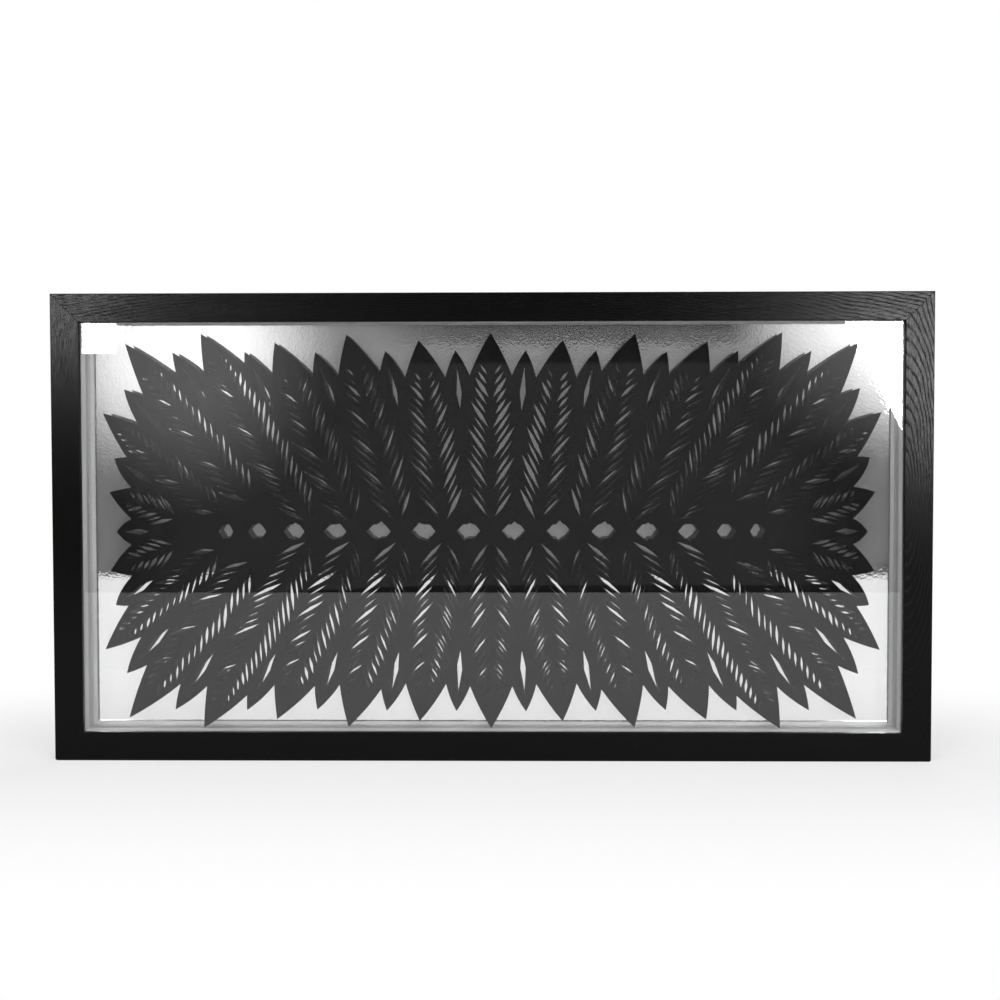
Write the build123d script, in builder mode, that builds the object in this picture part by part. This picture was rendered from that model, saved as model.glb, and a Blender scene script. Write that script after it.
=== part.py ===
from build123d import *
from math import cos, radians, sin, sqrt
import os

# A deep black box frame holding one sheet of cut black paper, floated behind glass in front
# of a silver board. X runs across the width, Y into the depth and Z up. The front faces -Y,
# and the origin lies under the middle of the bottom rail, where the frame stands.

# Frame moulding
frame_width = 915.0
frame_height = 488.0
frame_depth = 40.0
face_width = 30.0
lip_depth = 5.0
rabbet_width = 8.0
arris_radius = 0.8
lower_corner_radius = 3.0

# Glass, boards and the spacers that hold them apart
glass_thickness = 2.0
glass_clearance = 1.5
front_spacer_depth = 13.0
rear_spacer_depth = 8.0
silver_board_thickness = 2.0
backing_board_thickness = 3.0
board_clearance = 1.0

# Cut paper: a stem along the middle, and leaves that fan out above and below it
paper_thickness = 0.4
paper_setback = 8.0
paper_side_margin = 20.0
paper_top_margin = 11.0
paper_bottom_margin = 1.5
stem_width = 36.0
stem_slit_width = 15.0
stem_slit_share = 0.27
stem_slit_belly_shares = (0.24, 0.72)
leaf_root = 34.0
midrib_width = 5.0
slit_width = 4.8
slit_belly_shares = (0.42,)
vein_angle = 34.0
vein_zone_share = 0.72
last_slit_share = 0.68

# One quarter of the fan, from the upright middle leaf to the end of the stem
leaf_base_x_shares = (0.0, 0.116, 0.232, 0.348, 0.458, 0.56, 0.65, 0.72)
leaf_tip_x_shares = (0.0, 0.185, 0.37, 0.555, 0.745, 0.94, 1.0, 0.985)
leaf_tip_z_shares = (1.0, 0.965, 0.995, 0.955, 1.0, 0.95, 0.6, 0.2)
leaf_half_width_shares = (0.088, 0.088, 0.088, 0.088, 0.088, 0.074, 0.062, 0.06)
leaf_root_shares = (1.0, 1.0, 1.0, 1.0, 1.0, 1.0, 0.6, 0.6)
first_slit_shares = (0.06, 0.06, 0.06, 0.06, 0.06, 0.17, 0.17, 0.38)
slit_pairs = (5, 5, 5, 5, 4, 4, 3, 3)

# Small leaves between the large ones
bud_start_share = 0.36
bud_tip_share = 0.93
bud_half_width_share = 0.042
bud_slit_shares = (0.45, 0.86)
bud_slit_width = 6.5

# Foam posts that float the paper off the silver board
lift_width = 8.0
lift_share = 0.88

# V-nails across the mitres, driven in from the back
nail_leg = 8.0
nail_thickness = 0.8
nail_depth = 10.0
nail_shares = (0.27, 0.6)

# Framer's points that hold the boards in the rabbet
point_width = 6.0
point_overhang = 9.0
point_bite = 4.0
point_taper = 3.0
point_thickness = 0.6
rail_point_shares = (-0.8, -0.4, 0.0, 0.4, 0.8)
stile_point_shares = (-0.6, 0.0, 0.6)

# Keyhole hanger plates let into the back of the side rails, and their screws
hanger_length = 46.0
hanger_width = 16.0
hanger_thickness = 1.5
hanger_drop = 120.0
keyhole_radius = 5.0
keyhole_slot_width = 5.0
keyhole_rise = 9.0
keyhole_pocket_depth = 6.0
keyhole_pocket_margin = 1.0
screw_spacing = 34.0
screw_length = 14.0
screw_head_radius = 3.0
screw_shank_radius = 1.5

# Places worked out from the sizes above
half_width = frame_width / 2
middle_z = frame_height / 2
front_y = -frame_depth / 2
back_y = frame_depth / 2
glass_front_y = front_y + lip_depth
glass_back_y = glass_front_y + glass_thickness
spacer_joint_y = glass_back_y + front_spacer_depth
silver_front_y = spacer_joint_y + rear_spacer_depth
silver_back_y = silver_front_y + silver_board_thickness
backing_back_y = silver_back_y + backing_board_thickness
wall_width = face_width - rabbet_width
rabbet_half_width = half_width - wall_width
rabbet_half_height = middle_z - wall_width
sight_half_width = half_width - face_width
paper_back_y = glass_back_y + paper_setback + paper_thickness
paper_half_width = sight_half_width - paper_side_margin
paper_bottom_z = face_width + paper_bottom_margin
paper_top_z = frame_height - face_width - paper_top_margin
paper_half_height = (paper_top_z - paper_bottom_z) / 2
paper_middle_z = (paper_top_z + paper_bottom_z) / 2
hanger_x = half_width - wall_width / 2
hanger_z = frame_height - hanger_drop


def at_depth(y, z=0.0):
    """Upright plane across the frame at depth y and height z, X to the right and Z up."""
    return Plane((0, y, z), (1, 0, 0), (0, -1, 0))


def save(piece, name):
    """Labels a finished piece and writes it under its own name."""
    piece.part.label = name
    export_step(piece.part, f"parts/{name}.step")


os.makedirs("parts", exist_ok=True)

# V-nails: two bent steel strips across the back of each mitre, one leg in each rail
with BuildPart() as corner_v_nails:
    with BuildSketch(at_depth(back_y)):
        for side in (-1, 1):
            for low, upwards in ((0.0, 1), (frame_height, -1)):
                for nail_share in nail_shares:
                    inset = nail_share * wall_width
                    apex_x = side * (half_width - inset)
                    apex_z = low + upwards * inset
                    leg_x = apex_x - side * nail_leg
                    leg_z = apex_z + upwards * nail_leg
                    thick_x = apex_x - side * nail_thickness
                    thick_z = apex_z + upwards * nail_thickness
                    with BuildLine():
                        Polyline(
                            (apex_x, apex_z),
                            (leg_x, apex_z),
                            (leg_x, thick_z),
                            (thick_x, thick_z),
                            (thick_x, leg_z),
                            (apex_x, leg_z),
                            close=True,
                        )
                    make_face()
    extrude(amount=nail_depth)
save(corner_v_nails, "corner_v_nails")

# Framer's points: flat steel darts pressed into the rabbet wall behind the backing board
point_outline = [
    (-point_width / 2, point_overhang),
    (point_width / 2, point_overhang),
    (point_width / 2, point_taper - point_bite),
    (0, -point_bite),
    (-point_width / 2, point_taper - point_bite),
]
point_places = []
for share in rail_point_shares:
    point_x = share * rabbet_half_width
    point_places.append(Location((point_x, middle_z - rabbet_half_height, 0), (0, 0, 0)))
    point_places.append(Location((point_x, middle_z + rabbet_half_height, 0), (0, 0, 180)))
for share in stile_point_shares:
    point_z = middle_z + share * rabbet_half_height
    point_places.append(Location((-rabbet_half_width, point_z, 0), (0, 0, -90)))
    point_places.append(Location((rabbet_half_width, point_z, 0), (0, 0, 90)))
with BuildPart() as framer_points:
    with BuildSketch(at_depth(backing_back_y + point_thickness)):
        with Locations(*point_places):
            Polygon(*point_outline, align=None)
    extrude(amount=point_thickness)
save(framer_points, "framer_points")

# Hanger screws: countersunk wood screws, two in each hanger plate
with BuildPart() as hanger_screws:
    for side in (-1, 1):
        for end in (-1, 1):
            screw_x = side * hanger_x
            screw_z = hanger_z + end * screw_spacing / 2
            head_end_y = back_y - screw_head_radius + screw_shank_radius
            with BuildSketch(Plane.XY.offset(screw_z)):
                with BuildLine():
                    Polyline(
                        (screw_x, back_y),
                        (screw_x + screw_head_radius, back_y),
                        (screw_x + screw_shank_radius, head_end_y),
                        (screw_x + screw_shank_radius, back_y - screw_length),
                        (screw_x, back_y - screw_length),
                        close=True,
                    )
                make_face()
            revolve(axis=Axis((screw_x, 0, screw_z), (0, 1, 0)))
save(hanger_screws, "hanger_screws")

# Hanger plates: oblong steel keyhole plates, flush with the back of the side rails
for side, hanger_name in ((-1, "left_hanger"), (1, "right_hanger")):
    with BuildPart() as hanger:
        with BuildSketch(at_depth(back_y)):
            with Locations((side * hanger_x, hanger_z)):
                Rectangle(hanger_width, hanger_length)
                Circle(keyhole_radius, mode=Mode.SUBTRACT)
            with Locations((side * hanger_x, hanger_z + keyhole_rise / 2)):
                SlotCenterToCenter(keyhole_rise, keyhole_slot_width, rotation=90, mode=Mode.SUBTRACT)
        extrude(amount=hanger_thickness)
        add(hanger_screws.part, mode=Mode.SUBTRACT)
    save(hanger, hanger_name)

# Recesses cut for the hanger plates, and behind each keyhole for the head of a wall screw
with BuildPart() as hanger_recesses:
    with BuildSketch(at_depth(back_y)):
        with Locations((-hanger_x, hanger_z), (hanger_x, hanger_z)):
            Rectangle(hanger_width, hanger_length)
    extrude(amount=hanger_thickness)
    with BuildSketch(at_depth(back_y)):
        pocket_z = hanger_z + keyhole_rise / 2
        pocket_width = 2 * (keyhole_radius + keyhole_pocket_margin)
        with Locations((-hanger_x, pocket_z), (hanger_x, pocket_z)):
            Rectangle(pocket_width, pocket_width + keyhole_rise)
    extrude(amount=hanger_thickness + keyhole_pocket_depth)

# Rails: rabbeted ash moulding with a flat face, mitred at the corners and stained black
outer_corners = [
    (-half_width, 0),
    (half_width, 0),
    (half_width, frame_height),
    (-half_width, frame_height),
]
inner_corners = [
    (face_width - half_width, face_width),
    (half_width - face_width, face_width),
    (half_width - face_width, frame_height - face_width),
    (face_width - half_width, frame_height - face_width),
]
rails = (
    ("bottom_rail", Plane((0, front_y, 0), (0, 0, 1), (-1, 0, 0)), half_width),
    ("right_rail", Plane((half_width, front_y, middle_z), (-1, 0, 0), (0, 0, -1)), middle_z),
    ("top_rail", Plane((0, front_y, frame_height), (0, 0, -1), (1, 0, 0)), half_width),
    ("left_rail", Plane((-half_width, front_y, middle_z), (1, 0, 0), (0, 0, 1)), middle_z),
)
for start, (rail_name, section_plane, half_length) in enumerate(rails):
    end = (start + 1) % len(rails)
    with BuildPart() as rail:
        with BuildSketch(section_plane):
            with BuildLine():
                Polyline(
                    (0, 0),
                    (face_width, 0),
                    (face_width, lip_depth),
                    (wall_width, lip_depth),
                    (wall_width, frame_depth),
                    (0, frame_depth),
                    close=True,
                )
            section = make_face()
            eased = section.vertices().group_by(Axis.Y)[0] + section.vertices().group_by(Axis.Y)[-1]
            fillet(eased, arris_radius)
        extrude(amount=half_length, both=True)
        with BuildSketch(at_depth(back_y)):
            with Locations((0, middle_z)):
                outline = Rectangle(frame_width, frame_height)
            fillet(outline.vertices().group_by(Axis.Y)[0], lower_corner_radius)
            with BuildLine():
                Polyline(
                    outer_corners[start],
                    outer_corners[end],
                    inner_corners[end],
                    inner_corners[start],
                    close=True,
                )
            make_face(mode=Mode.INTERSECT)
        extrude(amount=frame_depth, mode=Mode.INTERSECT)
        for fixing in (corner_v_nails, framer_points, hanger_screws, hanger_recesses):
            add(fixing.part, mode=Mode.SUBTRACT)
    save(rail, rail_name)

# Glass: one flat pane held between the lip and the front spacers
with BuildPart() as glass:
    with BuildSketch(at_depth(glass_back_y)):
        with Locations((0, middle_z)):
            Rectangle(2 * (rabbet_half_width - glass_clearance), 2 * (rabbet_half_height - glass_clearance))
    extrude(amount=glass_thickness)
save(glass, "glass")

# Spacers: pale board strips two deep, glued round the rabbet, top and bottom past the sides
strip_inset = rabbet_width / 2
long_strip = (2 * rabbet_half_width, rabbet_width)
short_strip = (rabbet_width, 2 * (rabbet_half_height - rabbet_width))
strips = (
    ("top", (0, middle_z + rabbet_half_height - strip_inset), long_strip),
    ("bottom", (0, middle_z - rabbet_half_height + strip_inset), long_strip),
    ("left", (strip_inset - rabbet_half_width, middle_z), short_strip),
    ("right", (rabbet_half_width - strip_inset, middle_z), short_strip),
)
layers = (
    ("front_spacer", spacer_joint_y, front_spacer_depth),
    ("rear_spacer", silver_front_y, rear_spacer_depth),
)
for layer_name, layer_back_y, layer_depth in layers:
    for edge_name, strip_centre, strip_size in strips:
        with BuildPart() as spacer:
            with BuildSketch(at_depth(layer_back_y)):
                with Locations(strip_centre):
                    Rectangle(*strip_size)
            extrude(amount=layer_depth)
        save(spacer, f"{layer_name}_{edge_name}")

# Boards: a silver-faced board behind the paper, and the hardboard back that closes the frame
board_size = (2 * (rabbet_half_width - board_clearance), 2 * (rabbet_half_height - board_clearance))
boards = (
    ("silver_board", silver_back_y, silver_board_thickness),
    ("backing_board", backing_back_y, backing_board_thickness),
)
for board_name, board_back_y, board_thickness in boards:
    with BuildPart() as board:
        with BuildSketch(at_depth(board_back_y)):
            with Locations((0, middle_z)):
                Rectangle(*board_size)
        extrude(amount=board_thickness)
    save(board, board_name)


def pointed_oval(start, tip, half_breadth):
    """Leaf shape between two points, bounded by two equal arcs."""
    middle = (start + tip) / 2
    across = (tip - start).normalized().rotate(Axis.Z, 90) * half_breadth
    with BuildSketch() as oval:
        with BuildLine():
            ThreePointArc(start, middle + across, tip)
            ThreePointArc(tip, middle - across, start)
        make_face()
    return oval.sketch


def knife_slit(start, tip, half_breadth, belly_shares=slit_belly_shares):
    """Slit between two points, cut with straight strokes that meet where it is broadest."""
    bellies = [start + (tip - start) * share for share in belly_shares]
    across = (tip - start).normalized().rotate(Axis.Z, 90) * half_breadth
    upper = [belly + across for belly in bellies]
    lower = [belly - across for belly in reversed(bellies)]
    with BuildSketch() as slit:
        with BuildLine():
            Polyline(start, *upper, tip, *lower, close=True)
        make_face()
    return slit.sketch


def vein_slits(base, tip, index):
    """Pairs of slits that slant from the midrib of a leaf to just inside its edge."""
    along = (tip - base).normalized()
    root = leaf_root * leaf_root_shares[index]
    free_length = (tip - base).length
    length = free_length + root
    reach = leaf_half_width_shares[index] * paper_half_width * vein_zone_share
    reach_radius = (length**2 / 4 + reach**2) / (2 * reach)
    first_share = first_slit_shares[index]
    step_share = (last_slit_share - first_share) / (slit_pairs[index] - 1)
    slits = []
    for pair in range(slit_pairs[index]):
        for side in (-1, 1):
            across = along.rotate(Axis.Z, 90) * side
            vein = along * cos(radians(vein_angle)) + across * sin(radians(vein_angle))
            start = base + along * (first_share + pair * step_share) * free_length + across * midrib_width / 2
            centre = tip - along * length / 2 - across * (reach_radius - reach)
            run = (start - centre).dot(vein)
            room = reach_radius**2 - (start - centre).dot(start - centre)
            slit_end = start + vein * (sqrt(run**2 + room) - run)
            slits.append(knife_slit(start, slit_end, slit_width / 2))
    return slits


def fan_leaf(step, upwards):
    """Base, tip and place in the quarter of the leaf that stands this many steps from the middle."""
    index = abs(step)
    side = 1 if step > 0 else -1
    base = Vector(side * leaf_base_x_shares[index] * paper_half_width, 0)
    tip_x = side * leaf_tip_x_shares[index] * paper_half_width
    tip_z = upwards * leaf_tip_z_shares[index] * paper_half_height
    return base, Vector(tip_x, tip_z), index


# All the leaves in order round the sheet: above from right to left, then back again below
last_step = len(leaf_base_x_shares) - 1
leaves = [fan_leaf(step, 1) for step in range(last_step, -last_step - 1, -1)]
leaves += [fan_leaf(step, -1) for step in range(-last_step, last_step + 1)]
leaf_faces = []
slit_faces = []
for place, (base, tip, index) in enumerate(leaves):
    root = (tip - base).normalized() * leaf_root * leaf_root_shares[index]
    leaf_faces.append(pointed_oval(base - root, tip, leaf_half_width_shares[index] * paper_half_width))
    slit_faces += vein_slits(base, tip, index)
    next_base, next_tip, next_index = leaves[(place + 1) % len(leaves)]
    between_bases = (base + next_base) / 2
    bud_line = (tip + next_tip) / 2 - between_bases
    bud_start = between_bases + bud_line * bud_start_share
    bud_tip = between_bases + bud_line * bud_tip_share
    leaf_faces.append(pointed_oval(bud_start, bud_tip, bud_half_width_share * paper_half_width))
    slit_ends = [bud_start + (bud_tip - bud_start) * share for share in bud_slit_shares]
    slit_faces.append(knife_slit(*slit_ends, bud_slit_width / 2))
    if tip.Y > 0 and next_tip.Y > 0:
        stem_slit = (next_base - base) * stem_slit_share
        slit_ends = [between_bases - stem_slit, between_bases + stem_slit]
        slit_faces.append(knife_slit(*slit_ends, stem_slit_width / 2, stem_slit_belly_shares))
stem_half_length = leaf_base_x_shares[last_step] * paper_half_width + stem_width / 2

# Cut paper: one sheet of black paper, cut by hand with a knife
with BuildPart() as cut_paper:
    with BuildSketch(at_depth(paper_back_y, paper_middle_z)):
        Rectangle(2 * stem_half_length, stem_width)
        add(leaf_faces)
        add(slit_faces, mode=Mode.SUBTRACT)
    extrude(amount=paper_thickness)
save(cut_paper, "cut_paper")

# Paper lifts: dark foam posts behind the solid stem and the solid leaf tips
lift_places = []
for base, tip, index in leaves:
    lift_places.append(base + (tip - base) * lift_share)
    if tip.Y > 0:
        lift_places.append(base)
with BuildPart() as paper_lifts:
    with BuildSketch(at_depth(silver_front_y, paper_middle_z)):
        with Locations(*lift_places):
            Rectangle(lift_width, lift_width)
    extrude(amount=silver_front_y - paper_back_y)
save(paper_lifts, "paper_lifts")
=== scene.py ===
import math
import random

import bpy
from mathutils import Matrix, Vector


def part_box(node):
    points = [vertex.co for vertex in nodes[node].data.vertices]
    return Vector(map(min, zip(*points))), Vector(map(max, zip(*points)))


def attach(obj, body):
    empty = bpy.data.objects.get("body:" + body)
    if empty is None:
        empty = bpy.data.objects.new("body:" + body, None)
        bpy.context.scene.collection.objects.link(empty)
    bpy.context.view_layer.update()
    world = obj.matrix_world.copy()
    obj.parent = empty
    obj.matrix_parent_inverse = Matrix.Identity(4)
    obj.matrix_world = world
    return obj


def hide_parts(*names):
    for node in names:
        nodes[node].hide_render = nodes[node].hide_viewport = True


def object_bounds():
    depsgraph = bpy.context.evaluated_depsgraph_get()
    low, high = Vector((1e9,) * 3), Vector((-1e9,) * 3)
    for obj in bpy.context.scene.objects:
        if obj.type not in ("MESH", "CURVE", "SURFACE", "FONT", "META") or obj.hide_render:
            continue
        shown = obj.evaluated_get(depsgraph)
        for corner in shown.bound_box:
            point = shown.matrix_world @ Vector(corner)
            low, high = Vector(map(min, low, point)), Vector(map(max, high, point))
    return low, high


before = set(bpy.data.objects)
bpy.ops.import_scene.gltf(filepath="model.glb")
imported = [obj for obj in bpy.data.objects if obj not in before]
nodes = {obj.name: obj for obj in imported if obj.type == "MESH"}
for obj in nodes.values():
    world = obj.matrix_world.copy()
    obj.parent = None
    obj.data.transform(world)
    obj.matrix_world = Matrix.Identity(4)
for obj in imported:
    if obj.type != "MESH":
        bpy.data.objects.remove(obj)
cad_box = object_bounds()

# Frame rails
# Four lengths of open-grained ash moulding with a flat face, stained black under a satin lacquer.
# Each is cut from another stretch of timber, and they are glued and nailed at the mitres.
stain_dark = (0.0006, 0.0006, 0.0006, 1)
stain_light = (0.0028, 0.0027, 0.0026, 1)
long_sway = 0.012
long_sway_scale = (7, 18, 18)
short_sway = 0.006
short_sway_scale = (26, 12, 12)
ring_wobble = 0.5
ring_wobble_scale = (20, 160, 160)
early_wood_start = (0.88, 1.0)
early_wood_end = (0.05, 0.36)
plain_level = 0.62
figure_gain = 0.38
figure_fade = 0.28
figure_scale = (11, 70, 70)
break_fade = (0.3, 0.6)
break_scale = (90, 700, 700)
pore_length = 0.009
pore_width = 0.00035
pore_fade = (0.5, 0.64)
mitre_hairline = 0.00016
lacquer_roughness = 0.18
lacquer_specular = 0.07
grain_depth = 0.00005


class Wire:
    """A socket of a material's node tree, so that shader maths reads as plain Python."""

    def __init__(self, socket):
        self.socket = socket

    def node(self, kind, settings=None, inputs=None, output=0):
        """Adds a node to the same tree: its settings first, then the values or wires of its sockets."""
        tree = self.socket.id_data
        made = tree.nodes.new("ShaderNode" + kind)
        for name, value in (settings or {}).items():
            setattr(made, name, value)
        for name, value in (inputs or {}).items():
            if isinstance(value, Wire):
                tree.links.new(value.socket, made.inputs[name])
            else:
                made.inputs[name].default_value = value
        return Wire(made.outputs[output])

    def into(self, shader, name):
        """Feeds one input of a shader."""
        self.socket.id_data.links.new(self.socket, shader.inputs[name])

    def math(self, operation, first, second=0.0):
        return self.node("Math", {"operation": operation}, {0: first, 1: second})

    def __add__(self, other):
        return self.math("ADD", self, other)

    def __radd__(self, other):
        return self.math("ADD", other, self)

    def __sub__(self, other):
        return self.math("SUBTRACT", self, other)

    def __rsub__(self, other):
        return self.math("SUBTRACT", other, self)

    def __mul__(self, other):
        return self.math("MULTIPLY", self, other)

    def __rmul__(self, other):
        return self.math("MULTIPLY", other, self)

    def __truediv__(self, other):
        return self.math("DIVIDE", self, other)

    def __pow__(self, other):
        return self.math("POWER", self, other)

    def __abs__(self):
        return self.math("ABSOLUTE", self)

    def fraction(self):
        return self.math("FRACT", self)

    def smaller(self, other):
        return self.math("MINIMUM", self, other)

    def larger(self, other):
        return self.math("MAXIMUM", self, other)

    def rise(self, low, high):
        """Runs smoothly from 0 to 1 as the value goes from low to high."""
        limits = {"From Min": low, "From Max": high}
        return self.node("MapRange", {"interpolation_type": "SMOOTHSTEP"}, {"Value": self, **limits})

    def part(self, axis):
        """One of the three numbers of a place: 0 for X, 1 for Y and 2 for Z."""
        return self.node("SeparateXYZ", {}, {"Vector": self}, axis)

    def stretched(self, scale, turn=(0, 0, 0), move=(0, 0, 0)):
        return self.node("Mapping", {}, {"Vector": self, "Location": move, "Rotation": turn, "Scale": scale})

    def noise(self, scale, detail=2.0, roughness=0.5):
        amounts = {"Scale": scale, "Detail": detail, "Roughness": roughness}
        return self.node("TexNoise", {}, {"Vector": self, **amounts})

    def cells(self, scale):
        return self.node("TexVoronoi", {}, {"Vector": self, "Scale": scale})

    def tint(self, low, high):
        """A colour between two others, as the value goes from 0 to 1."""
        return self.node("Mix", {"data_type": "RGBA"}, {0: self, 6: low, 7: high}, 2)

    def relief(self, distance, strength=1.0):
        """The surface normal for a height in units of distance."""
        return self.node("Bump", {}, {"Height": self, "Distance": distance, "Strength": strength})


def new_finish(name):
    """A new material, the wire of its Object coordinates, and its shader."""
    material = bpy.data.materials.new(name)
    material.use_nodes = True
    place = material.node_tree.nodes.new("ShaderNodeTexCoord").outputs["Object"]
    return material, Wire(place), material.node_tree.nodes["Principled BSDF"]


def dress(finish, slot_name, *node_names):
    """Gives CAD nodes a finish. The name of the record's slot that it belongs to is not used."""
    for node_name in node_names:
        nodes[node_name].data.materials.clear()
        nodes[node_name].data.materials.append(finish)


def black_ash(name, turn, heart, lean, ring_pitch, figure):
    """Ash cut along its X axis after the turn, by its place and lean to the heart of the tree."""
    material, place, shader = new_finish(name)
    timber = place.stretched((1, 1, 1), turn)
    slow = timber.stretched(long_sway_scale, move=heart).noise(1.0, 2.0) - 0.5
    quick = timber.stretched(short_sway_scale, move=heart).noise(1.0, 1.0) - 0.5
    across = timber.part(2) + heart[2] + slow * long_sway + quick * short_sway
    depth = timber.part(1) + heart[1] + timber.part(0) * lean
    radius = (across * across + depth * depth) ** 0.5
    wobble = timber.stretched(ring_wobble_scale).noise(1.0, 2.0)
    ring = (radius / ring_pitch + wobble * ring_wobble).fraction()
    early_wood = 1 - ring.rise(*early_wood_end) + ring.rise(*early_wood_start)
    plain = plain_level - figure_gain * figure
    patch = timber.stretched(figure_scale, move=heart).noise(1.0, 2.0).rise(plain, plain + figure_fade)
    broken = timber.stretched(break_scale).noise(1.0, 2.0).rise(*break_fade)
    open_grain = early_wood * patch * (0.5 + broken * 0.5) * figure
    streaks = timber.stretched((1 / pore_length, 1 / pore_width, 1 / pore_width)).noise(1.0, 2.0)
    pores = streaks.rise(*pore_fade) * (0.3 + open_grain * 0.7)
    from_side = cad_box[1].x - abs(place.part(0))
    from_end = place.part(2).smaller(cad_box[1].z - place.part(2))
    joint = 1 - abs(from_side - from_end).rise(mitre_hairline, 2 * mitre_hairline)
    stain = (open_grain * 0.7 + pores * 0.3 + joint).smaller(1.0)
    stain.tint(stain_light, stain_dark).into(shader, "Base Color")
    dullness = lacquer_roughness + open_grain * 0.2 + pores * 0.12 + joint * 0.2
    dullness.smaller(1.0).into(shader, "Roughness")
    shader.inputs["Specular IOR Level"].default_value = lacquer_specular
    height = 0 - open_grain * 0.6 - pores - joint
    height.relief(grain_depth).into(shader, "Normal")
    return material


# For each rail: the turn of its timber, the heart of the tree, the lean, the ring pitch and the figure.
lying = (0, 0, 0)
upright = (0, math.pi / 2, 0)
rail_timbers = {
    "top_rail": (lying, (0.13, 0.03, -0.418), 0.17, 0.0026, 0.9),
    "bottom_rail": (lying, (0.71, 0.06, -0.092), 0.05, 0.003, 0.5),
    "left_rail": (upright, (0.37, 0.07, -0.36), 0.06, 0.003, 0.4),
    "right_rail": (upright, (0.92, -0.0374, 0.4275), 0.2, 0.0028, 0.95),
}
for rail, timber in rail_timbers.items():
    dress(black_ash(rail + "_ash", *timber), "black_ash", rail)

# Glass
# One flat pane of clear float glass, 2 mm thick, dropped into the rabbet behind the lip.
# It lets the lamps through, so that what lies behind it is lit.
glass_ior = 1.44
glass_finish, place, shader = new_finish("clear_glass")
shader.inputs["Base Color"].default_value = (1, 1, 1, 1)
shader.inputs["Roughness"].default_value = 0.0
shader.inputs["IOR"].default_value = glass_ior
shader.inputs["Transmission Weight"].default_value = 1.0
shadow_ray = place.node("LightPath", output="Is Shadow Ray")
clear = place.node("BsdfTransparent")
pane = place.node("MixShader", {}, {0: shadow_ray, 1: Wire(shader.outputs[0]), 2: clear})
pane.into(glass_finish.node_tree.nodes["Material Output"], "Surface")
dress(glass_finish, "glass", "glass")

# Spacers
# Strips of pale board glued round the rabbet in two layers, which hold the glass off the paper.
# The rear layer is the same board painted darker than the front, as painted shade deeper in the box, and
# both show the fine lines of their plies along the cut edge.
front_strip_dark = (0.115, 0.115, 0.115, 1)
front_strip_light = (0.23, 0.23, 0.23, 1)
# The rear layer's darker colours are painted shade deeper in the box.
rear_strip_shade_dark = (0.05, 0.05, 0.05, 1)
rear_strip_shade_light = (0.125, 0.125, 0.125, 1)
ply_pitch = 0.0016
ply_wander = 0.8
ply_wander_scale = 30.0
ply_line_fade = (0.34, 0.5)
strip_fibre_scale = (300, 1400, 300)
strip_roughness = 0.75
strip_relief = 0.0001


def strip_board(name, dark, light):
    """Cut edge of a layered board, with its plies one behind the other."""
    material, place, shader = new_finish(name)
    wander = place.noise(ply_wander_scale, 3.0)
    ply = (place.part(1) / ply_pitch + wander * ply_wander).fraction()
    line = abs(ply - 0.5).rise(*ply_line_fade)
    fibre = place.stretched(strip_fibre_scale).noise(1.0, 3.0)
    (1 - line * 0.5 - fibre * 0.3).tint(dark, light).into(shader, "Base Color")
    shader.inputs["Roughness"].default_value = strip_roughness
    (fibre - line).relief(strip_relief).into(shader, "Normal")
    return material


front_strip = strip_board("pale_strip", front_strip_dark, front_strip_light)
# The rear layer is the same board in darker colours, as painted shade.
rear_strip_painted_shade = strip_board("pale_strip_painted_shade", rear_strip_shade_dark, rear_strip_shade_light)
for edge in ("top", "bottom", "left", "right"):
    dress(front_strip, "spacer_board", "front_spacer_" + edge)
    dress(rear_strip_painted_shade, "spacer_board", "rear_spacer_" + edge)

# Cut paper
# One sheet of heavy black paper, cut by hand with a knife: a stem, leaves that fan out from it,
# and slits along their veins. It floats on hidden posts, and the cut strips stand a little uneven.
paper_low, paper_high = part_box("cut_paper")
paper_half_width = (paper_high.x - paper_low.x) / 2
paper_half_height = (paper_high.z - paper_low.z) / 2
paper_middle = (paper_low + paper_high) / 2
leaf_base_x_shares = (0.0, 0.116, 0.232, 0.348, 0.458, 0.56, 0.65, 0.72)
leaf_tip_x_shares = (0.0, 0.185, 0.37, 0.555, 0.745, 0.94, 1.0, 0.985)
leaf_tip_z_shares = (1.0, 0.965, 0.995, 0.955, 1.0, 0.95, 0.6, 0.2)
leaf_half_width_shares = (0.088, 0.088, 0.088, 0.088, 0.088, 0.074, 0.062, 0.06)
leaf_root_shares = (1.0, 1.0, 1.0, 1.0, 1.0, 1.0, 0.6, 0.6)
first_slit_shares = (0.06, 0.06, 0.06, 0.06, 0.06, 0.17, 0.17, 0.38)
slit_pairs = (5, 5, 5, 5, 4, 4, 3, 3)
last_slit_share = 0.68
vein_zone_share = 0.72
leaf_root = 0.034
midrib_width = 0.005
vein_angle = math.radians(34)
main_slit_width = 0.0056
fine_slit_width = 0.0033
fine_width_spread = (0.75, 1.35)
fine_end_share = 0.86
near_end_spread = (0.6, 1.5)
far_end_spread = (0.86, 1.06)
slit_spacing = 0.0105
shortest_slit = 0.007
slit_overrun = 0.0006
stem_cut_shift = 0.03
stem_cut_turn = (1.15, 2.0)
stem_cut_length_share = 0.43
stem_cut_length_spread = (0.9, 1.1)
stem_cut_width_share = 0.47
stem_cut_width_spread = (0.88, 1.06)
blade_depth = 0.006
blade_rounding = 0.3
merge_distance = 0.000002
flat_angle = math.radians(1)
wave_length = 0.028
curl_height = 0.0026
post_share = 0.88
post_hold = 0.011
post_ease = 0.02
hand = random.Random(11)

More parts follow.
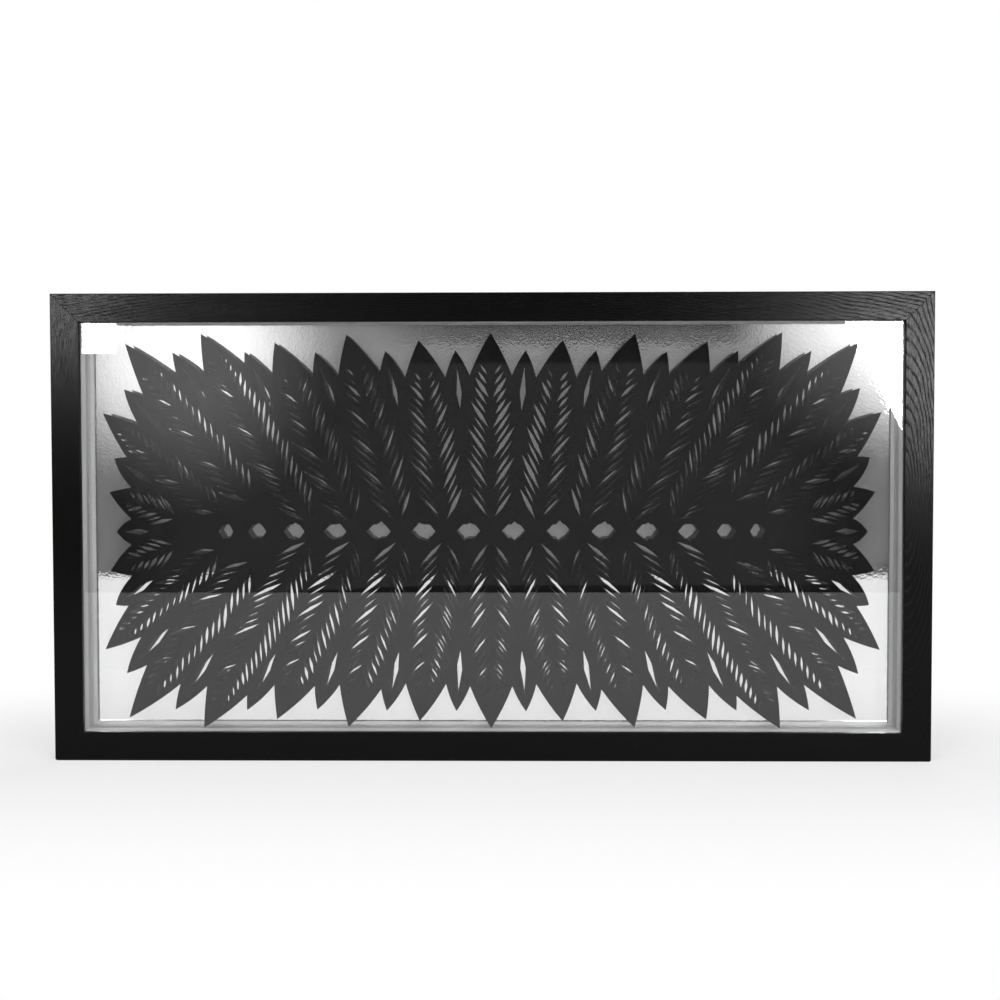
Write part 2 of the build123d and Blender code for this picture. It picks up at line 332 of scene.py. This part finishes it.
# The shape that one cut takes out: a diamond with pointed ends and rounded sides.
bpy.ops.object.select_all(action="DESELECT")
bpy.ops.mesh.primitive_circle_add(vertices=4, radius=0.5, fill_type="NGON")
blade = bpy.context.object
bpy.ops.object.mode_set(mode="EDIT")
bpy.ops.mesh.select_all(action="DESELECT")
bpy.ops.object.mode_set(mode="OBJECT")
for corner in blade.data.vertices:
    corner.select = abs(corner.co.x) < 0.1
bpy.ops.object.mode_set(mode="EDIT")
bpy.ops.mesh.select_mode(type="VERT")
bpy.ops.mesh.bevel(offset=blade_rounding, segments=3, affect="VERTICES")
bpy.ops.mesh.select_all(action="SELECT")
bpy.ops.mesh.extrude_region_move(TRANSFORM_OT_translate={"value": (0, 0, blade_depth)})
bpy.ops.mesh.select_all(action="SELECT")
bpy.ops.mesh.normals_make_consistent(inside=False)
bpy.ops.object.mode_set(mode="OBJECT")
blades = []


def cut_slit(start, end, width):
    """Stands a blade through the sheet, from one point of the flat design to another."""
    along = end - start
    length = along.length + 2 * slit_overrun
    middle = paper_middle + Vector(((start.x + end.x) / 2, blade_depth / 2, (start.y + end.y) / 2))
    turn = Matrix.Rotation(math.pi / 2, 4, "X") @ Matrix.Rotation(math.atan2(along.y, along.x), 4, "Z")
    copy = blade.copy()
    copy.data = blade.data.copy()
    copy.data.transform(Matrix.Translation(middle) @ turn @ Matrix.Diagonal((length, width, 1, 1)))
    bpy.context.collection.objects.link(copy)
    blades.append(copy)


def fan_leaf(step, upwards):
    """Base, tip and place in the quarter of the leaf that stands this many steps from the middle."""
    index = abs(step)
    side = 1 if step > 0 else -1
    base = Vector((side * leaf_base_x_shares[index] * paper_half_width, 0))
    tip_x = side * leaf_tip_x_shares[index] * paper_half_width
    return base, Vector((tip_x, upwards * leaf_tip_z_shares[index] * paper_half_height)), index


last_step = len(leaf_base_x_shares) - 1
leaves = [fan_leaf(step, 1) for step in range(last_step, -last_step - 1, -1)]
leaves += [fan_leaf(step, -1) for step in range(-last_step, last_step + 1)]
for base, tip, index in leaves:
    along = (tip - base).normalized()
    free_length = (tip - base).length
    length = free_length + leaf_root * leaf_root_shares[index]
    reach = leaf_half_width_shares[index] * paper_half_width * vein_zone_share
    reach_radius = (length**2 / 4 + reach**2) / (2 * reach)
    first_share = first_slit_shares[index]
    step_share = (last_slit_share - first_share) / (slit_pairs[index] - 1)
    spaces = round(step_share * free_length / slit_spacing)
    for pair in range(slit_pairs[index]):
        for side in (-1, 1):
            across = Vector((-along.y, along.x)) * side
            vein = along * math.cos(vein_angle) + across * math.sin(vein_angle)
            centre = tip - along * length / 2 - across * (reach_radius - reach)
            for space in range(spaces):
                slit_share = first_share + (pair + space / spaces) * step_share
                start = base + along * slit_share * free_length + across * midrib_width / 2
                run = (start - centre).dot(vein)
                room = reach_radius**2 - (start - centre).length_squared
                if room < 0:
                    continue
                vein_length = math.sqrt(run**2 + room) - run
                if vein_length < shortest_slit:
                    continue
                if space == 0:
                    cut_slit(start, start + vein * vein_length, main_slit_width)
                else:
                    near = start + vein * vein_length * (1 - fine_end_share) * hand.uniform(*near_end_spread)
                    far = start + vein * vein_length * fine_end_share * hand.uniform(*far_end_spread)
                    cut_slit(near, far, fine_slit_width * hand.uniform(*fine_width_spread))

for step in range(-last_step, last_step):
    base, next_base = fan_leaf(step, 1)[0], fan_leaf(step + 1, 1)[0]
    spacing = (next_base - base).length
    shift_x = hand.uniform(-stem_cut_shift, stem_cut_shift)
    shift_z = hand.uniform(-stem_cut_shift, stem_cut_shift)
    middle = (base + next_base) / 2 + Vector((shift_x, shift_z)) * spacing
    turn = hand.uniform(*stem_cut_turn)
    half = Vector((math.cos(turn), math.sin(turn))) * stem_cut_length_share / 2 * spacing
    half *= hand.uniform(*stem_cut_length_spread)
    width = stem_cut_width_share * spacing * hand.uniform(*stem_cut_width_spread)
    cut_slit(middle - half, middle + half, width)

bpy.ops.object.select_all(action="DESELECT")
for copy in blades:
    copy.select_set(True)
bpy.context.view_layer.objects.active = blades[0]
bpy.ops.object.join()
cutter = bpy.context.object

sheet = nodes["cut_paper"].copy()
sheet.data = nodes["cut_paper"].data.copy()
sheet.name = "cut_sheet"
bpy.context.collection.objects.link(sheet)
bpy.ops.object.select_all(action="DESELECT")
sheet.select_set(True)
bpy.context.view_layer.objects.active = sheet
bpy.ops.object.mode_set(mode="EDIT")
bpy.ops.mesh.select_all(action="SELECT")
bpy.ops.mesh.remove_doubles(threshold=merge_distance)
bpy.ops.mesh.dissolve_limited(angle_limit=flat_angle)
bpy.ops.object.mode_set(mode="OBJECT")
slits = sheet.modifiers.new("slits", "BOOLEAN")
slits.operation = "DIFFERENCE"
slits.solver = "EXACT"
slits.object = cutter
bpy.ops.object.modifier_apply(modifier="slits")
bpy.data.objects.remove(cutter)
bpy.data.objects.remove(blade)
bpy.ops.object.mode_set(mode="EDIT")
bpy.ops.mesh.select_all(action="SELECT")
bpy.ops.mesh.quads_convert_to_tris()
bpy.ops.object.mode_set(mode="OBJECT")

# The sheet curls forward between its posts and lies flat on them.
posts = [base + (tip - base) * post_share for base, tip, index in leaves]
posts += [base for base, tip, index in leaves]
loose = sheet.vertex_groups.new(name="loose")
for point in sheet.data.vertices:
    spot = Vector((point.co.x - paper_middle.x, point.co.z - paper_middle.z))
    from_post = min((spot - post).length for post in posts)
    loose.add([point.index], min(1.0, max(0.0, (from_post - post_hold) / post_ease)), "REPLACE")
waves = bpy.data.textures.new("paper_waves", "CLOUDS")
waves.noise_scale = wave_length
waves.noise_depth = 1
curl = sheet.modifiers.new("curl", "DISPLACE")
curl.texture = waves
curl.texture_coords = "LOCAL"
curl.direction = "Y"
curl.vertex_group = "loose"
curl.mid_level = 0.0
curl.strength = -curl_height
bpy.ops.object.modifier_apply(modifier="curl")

paper_dark = (0.001, 0.001, 0.001, 1)
paper_light = (0.0036, 0.0036, 0.0036, 1)
paper_roughness = 0.85
paper_specular = 0.05
paper_relief = 0.00005
paper_finish, place, shader = new_finish("black_paper")
fibre = place.noise(900.0, 4.0, 0.6)
mottle = fibre * 0.6 + place.noise(14.0) * 0.4
mottle.tint(paper_dark, paper_light).into(shader, "Base Color")
shader.inputs["Roughness"].default_value = paper_roughness
shader.inputs["Specular IOR Level"].default_value = paper_specular
fibre.relief(paper_relief, 0.3).into(shader, "Normal")
sheet.data.materials.clear()
sheet.data.materials.append(paper_finish)
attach(sheet, "root")
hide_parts("cut_paper")

# Paper lifts
# Small square posts of black foam, glued between the solid parts of the paper and the board.
foam_dark = (0.002, 0.002, 0.002, 1)
foam_light = (0.012, 0.012, 0.012, 1)
foam_roughness = 0.95
foam_relief = 0.0002
foam_finish, place, shader = new_finish("black_foam")
foam_cells = place.cells(1600.0)
foam_cells.rise(0.0, 0.7).tint(foam_dark, foam_light).into(shader, "Base Color")
shader.inputs["Roughness"].default_value = foam_roughness
foam_cells.relief(foam_relief).into(shader, "Normal")
dress(foam_finish, "black_foam", "paper_lifts")

# Silver board
# Mount board faced with a bright silver foil. It mirrors what stands close to it, and the
# slight orange peel of the board under the foil breaks up what is further away.
foil_colour = (0.8, 0.8, 0.805, 1)
foil_metallic = 0.925
foil_roughness = 0.012
foil_haze = 0.02
foil_haze_scale = 9.0
peel_height = 0.00002
peel_scale = 420.0
swell_height = 0.00006
swell_scale = 24.0
board_lean = 0.0115
silver_finish, place, shader = new_finish("silver_foil")
shader.inputs["Base Color"].default_value = foil_colour
shader.inputs["Metallic"].default_value = foil_metallic
peel = place.noise(peel_scale, 1.0)
swell = place.noise(swell_scale, 2.0)
(foil_roughness + place.noise(foil_haze_scale) * foil_haze).into(shader, "Roughness")
foil_height = peel * peel_height + swell * swell_height + place.part(2) * board_lean
foil_height.relief(1.0).into(shader, "Normal")
dress(silver_finish, "silver_board", "silver_board")

# Backing board
# Brown hardboard cut to the rabbet, pressed smooth on its outer face, with darker flecks of fibre.
hardboard_dark = (0.09, 0.048, 0.024, 1)
hardboard_light = (0.36, 0.22, 0.12, 1)
hardboard_roughness = 0.62
hardboard_relief = 0.00012
chip_scale = (130, 130, 210)
chip_fade = (0.08, 0.26)
chip_depth = 0.35
hardboard_finish, place, shader = new_finish("hardboard")
flecks = place.noise(700.0, 4.0, 0.65)
cloud = place.noise(12.0, 3.0)
chips = 1 - place.stretched(chip_scale).cells(1.0).rise(*chip_fade)
bare = place.noise(60.0, 2.0).rise(0.42, 0.6)
shade = flecks * 0.7 + cloud * 0.3 - chips * bare * chip_depth
shade.larger(0.0).tint(hardboard_dark, hardboard_light).into(shader, "Base Color")
(hardboard_roughness - flecks * 0.15).into(shader, "Roughness")
flecks.relief(hardboard_relief).into(shader, "Normal")
dress(hardboard_finish, "hardboard", "backing_board")

# Steel fixings
# V-nails, framer's points, keyhole plates and their screws, all of bright zinc-plated steel.
zinc_dark = (0.42, 0.43, 0.44, 1)
zinc_light = (0.68, 0.69, 0.7, 1)
zinc_roughness = 0.24
zinc_relief = 0.00002
brush_scale = (2500, 2500, 120)
spangle_scale = 160.0
steel_finish, place, shader = new_finish("zinc_steel")
brushed = place.stretched(brush_scale).noise(1.0, 2.0)
spangle = place.noise(spangle_scale, 3.0)
(brushed * 0.5 + spangle * 0.5).tint(zinc_dark, zinc_light).into(shader, "Base Color")
shader.inputs["Metallic"].default_value = 1.0
(zinc_roughness + brushed * 0.2).into(shader, "Roughness")
brushed.relief(zinc_relief, 0.5).into(shader, "Normal")
hangers = ("left_hanger", "right_hanger", "hanger_screws")
dress(steel_finish, "steel", "corner_v_nails", "framer_points", *hangers)

# Floor and studio
# A white sweep that ends in front of the frame and glows less near it, as painted shadow round the frame,
# a dim wall behind the camera, seen only in reflections, with a painted glow round each of two softboxes
# and painted shade elsewhere, a third softbox overhead and a fourth behind, and a white surround.
floor_front = -1.348
floor_back = 3.0
floor_half_width = 4.0
floor_colour = (0.5, 0.5, 0.5, 1)
floor_roughness = 0.9
painted_shadow_reach = 0.4
near_glow_painted_shadow = 0.61
black = (0, 0, 0, 1)
white = (1, 1, 1, 1)


def seen_rays(wire):
    """1 for what the camera sees, straight, in a mirror or through glass, and 0 for other light."""
    straight = wire.node("LightPath", output="Is Camera Ray")
    mirrored = wire.node("LightPath", output="Is Glossy Ray")
    through = wire.node("LightPath", output="Is Transmission Ray")
    return straight.larger(mirrored).larger(through)


bpy.ops.object.select_all(action="DESELECT")
bpy.ops.mesh.primitive_plane_add(size=1, location=(0, (floor_front + floor_back) / 2, 0))
floor = bpy.context.object
floor.name = "floor"
floor.scale = (2 * floor_half_width, floor_back - floor_front, 1)
bpy.ops.object.transform_apply(location=True, rotation=False, scale=True)
floor_finish, place, shader = new_finish("white_sweep")
shader.inputs["Base Color"].default_value = floor_colour
shader.inputs["Roughness"].default_value = floor_roughness
shader.inputs["Specular IOR Level"].default_value = 0.0
# The white glow is weaker near the frame, so the floor's lit grey shows there as a painted shadow round it,
# with the lamps' real shadows inside it.
beside = (abs(place.part(0)) - cad_box[1].x).larger(0.0)
before = (abs(place.part(1)) - cad_box[1].y).larger(0.0)
away = ((beside * beside + before * before) ** 0.5).rise(0.0, painted_shadow_reach)
glow_share_painted_shadow = seen_rays(place) * (near_glow_painted_shadow + away * (1 - near_glow_painted_shadow))
glow = place.node("Emission", {}, {"Color": white, "Strength": 1.0})
sweep = place.node("MixShader", {}, {0: glow_share_painted_shadow, 1: Wire(shader.outputs[0]), 2: glow})
sweep.into(floor_finish.node_tree.nodes["Material Output"], "Surface")
floor.data.materials.append(floor_finish)

wall_distance = 3.0
wall_size = (16.0, 8.0)
wall_middle = 2.0
wall_light = 0.18
wall_brightest = 1.4
lit_middle = -0.06
lit_edge = (0.94, 1.29)
lit_edge_loss = 0.72
gloom_foot = (0.56, 0.58)
gloom_left = (-0.55, -0.1)
gloom_right = (0.75, 1.0)
dusk_rise = (0.7, 1.6)
dusk_loss = 0.8
dark_band_low = -0.226
dark_band_high = -0.193
dark_band_slope = (-1.1, -0.1)
dark_band_blur = 0.004
facing_frame = (math.pi / 2, 0, 0)
wall_place = (0, -wall_distance, wall_middle)
bpy.ops.mesh.primitive_plane_add(size=1, location=wall_place, rotation=facing_frame)
wall = bpy.context.object
wall.name = "studio_wall"
wall.scale = (*wall_size, 1)
bpy.ops.object.transform_apply(location=True, rotation=True, scale=True)
# The wall is seen only in reflections, where it shows painted light and painted shade; no lamp lights it.
wall.visible_camera = False
wall.visible_diffuse = False
wall.visible_shadow = False
wall_finish, place, shader = new_finish("painted_reflection_wall")
wall_x = place.part(0)
wall_z = place.part(2)


def painted_lamp_glow(x, z, inner, outer, strength):
    """Painted light on the wall round one place, standing in for a lamp's spill, fading between two
    distances.
    """
    aside = wall_x - x
    above = wall_z - z
    return (1 - ((aside * aside + above * above) ** 0.5).rise(inner, outer)) * strength


# Painted shade on the wall: darker towards the sides, in a patch above the middle, towards the top, and
# black below a sloping line at its foot.
lit_width = 1 - abs(wall_x - lit_middle).rise(*lit_edge) * lit_edge_loss
gloom = wall_z.rise(*gloom_foot) * wall_x.rise(*gloom_left) * (1 - wall_x.rise(*gloom_right))
dusk = wall_z.rise(*dusk_rise) * dusk_loss
dark_band_edge = dark_band_low + wall_x.rise(*dark_band_slope) * (dark_band_high - dark_band_low)
above_dark_band = (wall_z - dark_band_edge).rise(-dark_band_blur, dark_band_blur)
painted_wall_base = wall_light * lit_width * (1 - gloom) * (1 - dusk) * above_dark_band
# Painted glows round the two softboxes.
left_painted_glow = painted_lamp_glow(-1.1, 0.58, 0.1, 0.57, 1.28)
right_painted_glow = painted_lamp_glow(1.42, 0.8, 0.2, 0.68, 1.35)
painted_wall_colour = ((painted_wall_base + left_painted_glow + right_painted_glow) / wall_brightest).tint(black, white)
painted_wall_glow = place.node("Emission", {}, {"Color": painted_wall_colour, "Strength": wall_brightest})
painted_wall_glow.into(wall_finish.node_tree.nodes["Material Output"], "Surface")
wall.data.materials.append(wall_finish)

level_light = 0.2
overhead_light = 0.5
world = bpy.data.worlds.new("studio")
bpy.context.scene.world = world
world.use_nodes = True
background = world.node_tree.nodes["Background"]
background.inputs["Color"].default_value = white
surround = Wire(background.outputs[0])
overhead = surround.node("TexCoord").part(2).rise(0.0, 1.0)
soft_light = level_light + overhead * overhead_light
(soft_light + seen_rays(surround) * (1 - soft_light)).into(background, "Strength")

lamp_distance = 2.6
right_lamp_lean = math.radians(27.9)


def softbox(name, stance, size, radiance):
    """A flat soft lamp of one radiance, which stands as a matrix says."""
    bpy.ops.object.light_add(type="AREA")
    lamp = bpy.context.object
    lamp.name = name
    lamp.data.shape = "RECTANGLE"
    lamp.data.size = size[0]
    lamp.data.size_y = size[1]
    lamp.data.energy = radiance * math.pi * size[0] * size[1]
    lamp.matrix_world = stance


def before_wall(corner_x, corner_z, size, lean):
    """The stance of a lamp before the wall, from its lower inner corner, leaning by an angle."""
    side = 1 if corner_x > 0 else -1
    corner = Matrix.Translation((corner_x, -lamp_distance, corner_z))
    turn = Matrix.Rotation(math.pi / 2, 4, "X") @ Matrix.Rotation(lean, 4, "Z")
    return corner @ turn @ Matrix.Translation((side * size[0] / 2, size[1] / 2, 0))


def aimed(place, target):
    """The stance of a lamp at a place, turned to face a target."""
    turn = (Vector(place) - Vector(target)).to_track_quat("Z", "Y").to_matrix().to_4x4()
    return Matrix.Translation(place) @ turn


left_size = (0.5, 0.6)
right_size = (0.5, 0.66)
softbox("left_softbox", before_wall(-1.196, 0.581, left_size, 0.0), left_size, 36.0)
softbox("right_softbox", before_wall(1.331, 0.17, right_size, right_lamp_lean), right_size, 50.0)
softbox("back_softbox", aimed((0.9, 2.6, 1.5), (0, 0, 0.25)), (1.4, 1.4), 5.0)
softbox("top_softbox", aimed((0, -0.75, 1.9), (0, 0, 0.03)), (1.6, 0.5), 10.0)

# Camera
# At the photograph's place: a little right of the middle and above it, looking almost level.
camera_place = (0.0155, -1.3154, 0.3478)
camera_dip = 1.789
camera_roll = 0.095
camera_turn = 0.741
bpy.ops.object.camera_add(location=camera_place)
camera = bpy.context.object
camera.rotation_euler = [math.radians(angle) for angle in (90 - camera_dip, camera_roll, camera_turn)]
camera.data.sensor_width = 36.0
camera.data.lens = 45.0
camera.data.shift_x = 0.0106
camera.data.shift_y = -0.0329
bpy.context.scene.camera = camera
bpy.context.scene.view_settings.view_transform = "Standard"
